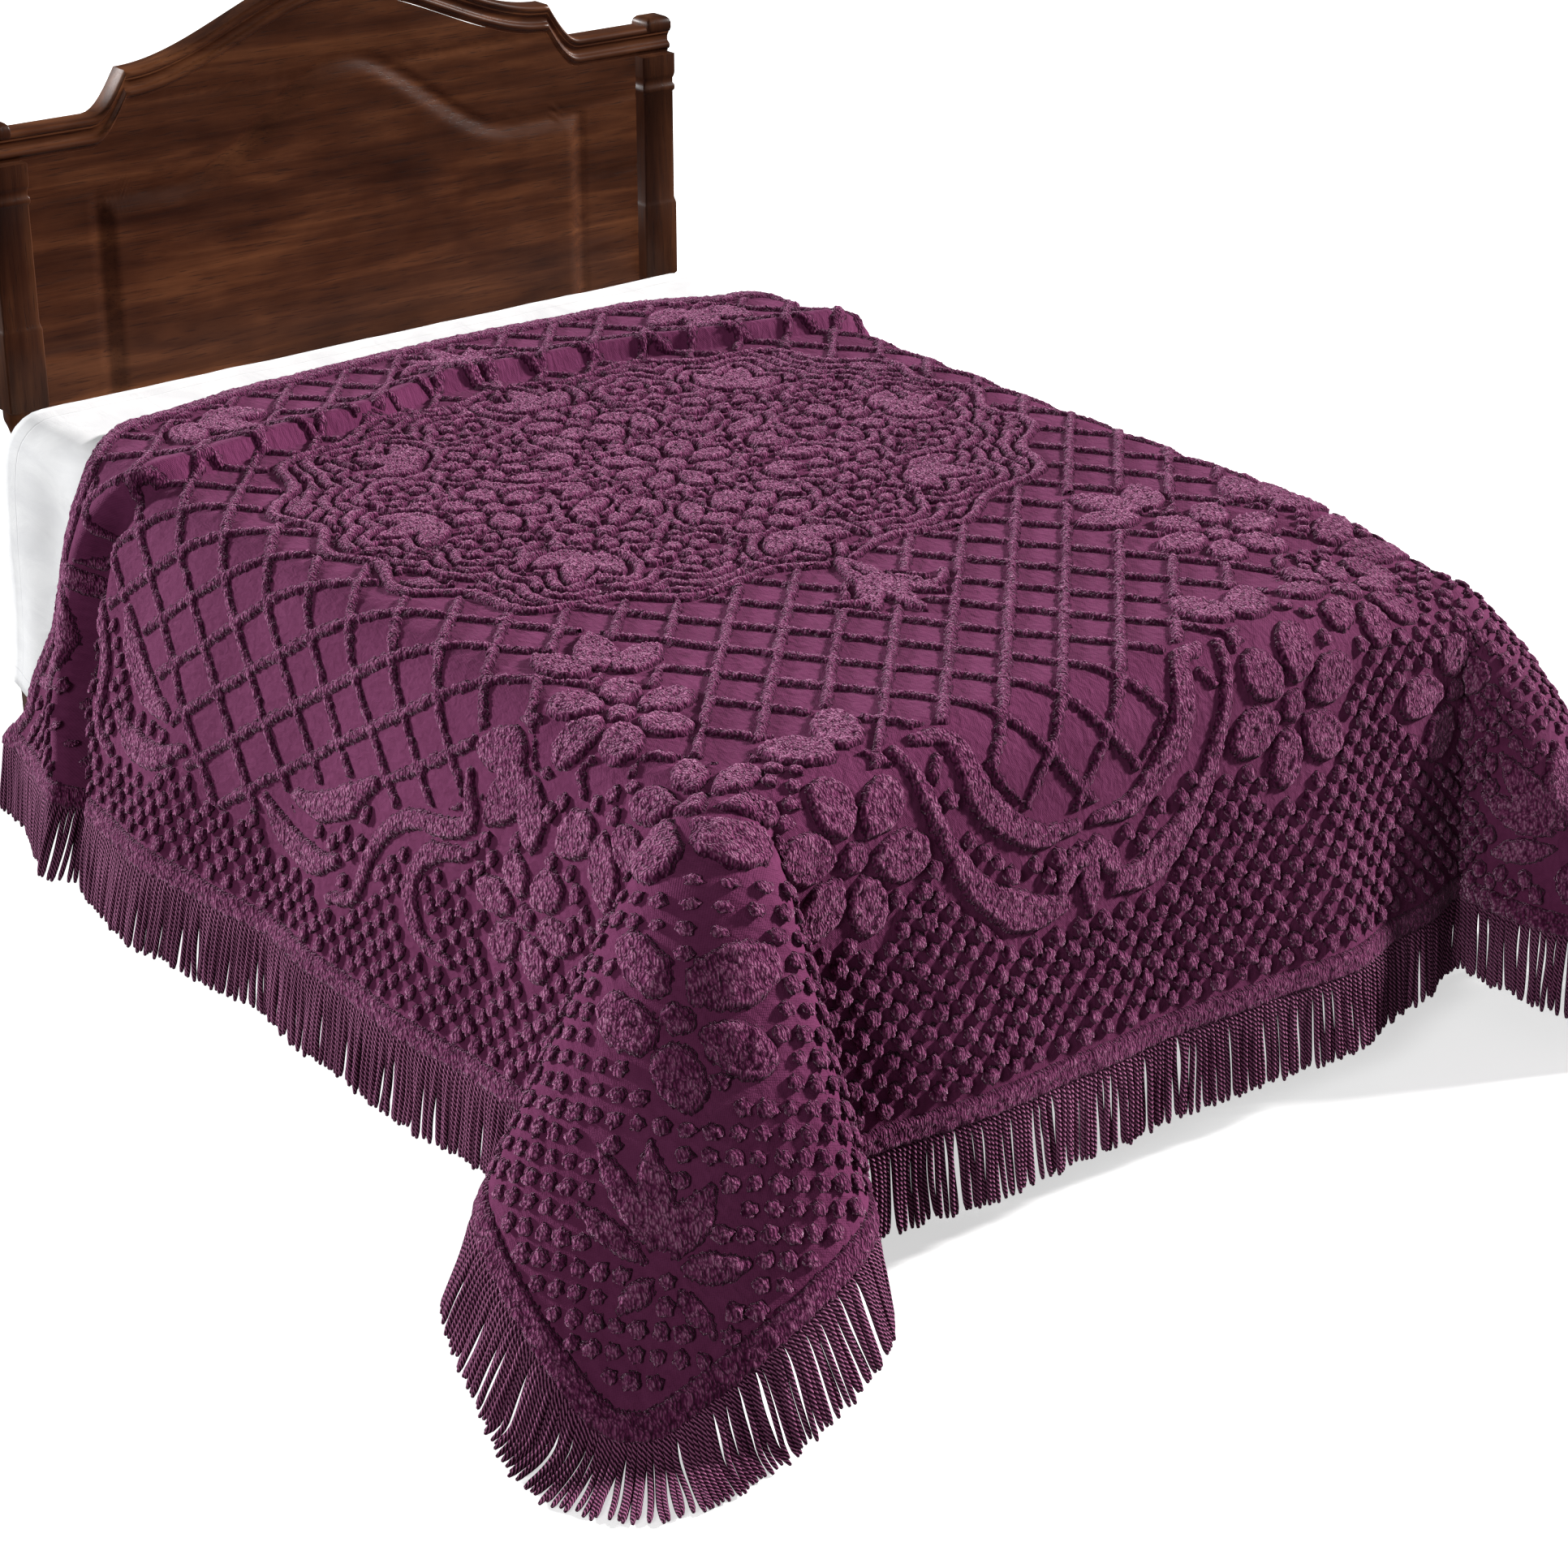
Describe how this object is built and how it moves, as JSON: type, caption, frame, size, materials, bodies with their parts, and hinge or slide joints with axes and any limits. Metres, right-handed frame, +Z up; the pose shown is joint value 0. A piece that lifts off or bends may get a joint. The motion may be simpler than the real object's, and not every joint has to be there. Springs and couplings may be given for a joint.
{
  "type": "chenille bedspread on a double bed",
  "caption": "Tufted chenille bedspread with a corded fringe, draped to near the floor over a plain wooden double bed with an arched headboard and a white sheet.",
  "frame": {"origin": "middle of the bottom of the box round the whole object, on the floor", "axes": "+X across the bed to the right as seen from its foot, +Y from the foot to the head, +Z up"},
  "size_m": [2.2486, 2.4144, 1.3],
  "materials": {
    "plum chenille": "tufted cotton pile on a plain weave",
    "plum cord": "twisted cotton cord",
    "white cotton": "fine plain weave, matte",
    "ticking": "plain ticking, matte",
    "mahogany": "dark stained and varnished"
  },
  "bodies": {
    "root": {"bedspread": "plum chenille", "fringe": "plum cord", "sheet": "white cotton", "mattress": "ticking", "box_spring": "ticking", "headboard": "mahogany", "crest": "mahogany", "post_left": "mahogany", "post_right": "mahogany", "rail_left": "mahogany", "rail_right": "mahogany", "rail_foot": "mahogany", "leg_left": "mahogany", "leg_right": "mahogany", "slat_1": "mahogany", "slat_2": "mahogany", "slat_3": "mahogany", "slat_4": "mahogany"}
  },
  "joints": []
}
